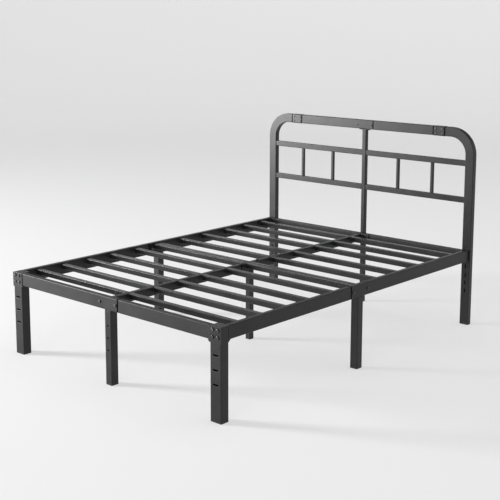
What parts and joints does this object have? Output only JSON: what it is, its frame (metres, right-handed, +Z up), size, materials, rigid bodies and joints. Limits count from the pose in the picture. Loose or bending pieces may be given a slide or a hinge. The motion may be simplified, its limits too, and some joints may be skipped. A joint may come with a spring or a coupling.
{
  "type": "bed frame",
  "caption": "Steel platform bed frame for a full-size mattress: bolted tube rails and slats on straight legs, with a round-cornered tube headboard.",
  "frame": {"origin": "on the floor, under the middle of the whole frame", "axes": "+Y towards the head of the bed, +X to the right seen from the foot, +Z up"},
  "size_m": [1.39, 1.9336, 1.044],
  "materials": {
    "powder_coat": "satin black powder coat",
    "fastener": "black zinc",
    "cap_plastic": "moulded black"
  },
  "bodies": {
    "root": {"centre_leg": "powder_coat", "centre_rail_foot": "powder_coat", "centre_rail_head": "powder_coat", "corner_leg_left": "powder_coat", "corner_leg_right": "powder_coat", "foot_caps": "cap_plastic", "foot_middle_leg": "powder_coat", "foot_rail_left": "powder_coat", "foot_rail_right": "powder_coat", "frame_bolts": "fastener", "frame_nuts": "fastener", "head_rail": "powder_coat", "head_rail_caps": "cap_plastic", "headboard_centre_post": "powder_coat", "headboard_lower_bar_left": "powder_coat", "headboard_lower_bar_right": "powder_coat", "headboard_post_left": "powder_coat", "headboard_post_right": "powder_coat", "headboard_screws": "fastener", "headboard_sleeve_left": "powder_coat", "headboard_sleeve_right": "powder_coat", "headboard_spindle_left_inner": "powder_coat", "headboard_spindle_left_outer": "powder_coat", "headboard_spindle_right_inner": "powder_coat", "headboard_spindle_right_outer": "powder_coat", "headboard_top_rail_left": "powder_coat", "headboard_top_rail_right": "powder_coat", "headboard_upper_bar_left": "powder_coat", "headboard_upper_bar_right": "powder_coat", "middle_beam_left": "powder_coat", "middle_beam_right": "powder_coat", "side_leg_left": "powder_coat", "side_leg_right": "powder_coat", "side_rail_left_foot": "powder_coat", "side_rail_left_head": "powder_coat", "side_rail_right_foot": "powder_coat", "side_rail_right_head": "powder_coat", "slat_left_01": "powder_coat", "slat_left_02": "powder_coat", "slat_left_03": "powder_coat", "slat_left_04": "powder_coat", "slat_left_05": "powder_coat", "slat_left_06": "powder_coat", "slat_left_07": "powder_coat", "slat_left_08": "powder_coat", "slat_left_09": "powder_coat", "slat_left_10": "powder_coat", "slat_left_11": "powder_coat", "slat_right_01": "powder_coat", "slat_right_02": "powder_coat", "slat_right_03": "powder_coat", "slat_right_04": "powder_coat", "slat_right_05": "powder_coat", "slat_right_06": "powder_coat", "slat_right_07": "powder_coat", "slat_right_08": "powder_coat", "slat_right_09": "powder_coat", "slat_right_10": "powder_coat", "slat_right_11": "powder_coat"}
  },
  "joints": []
}
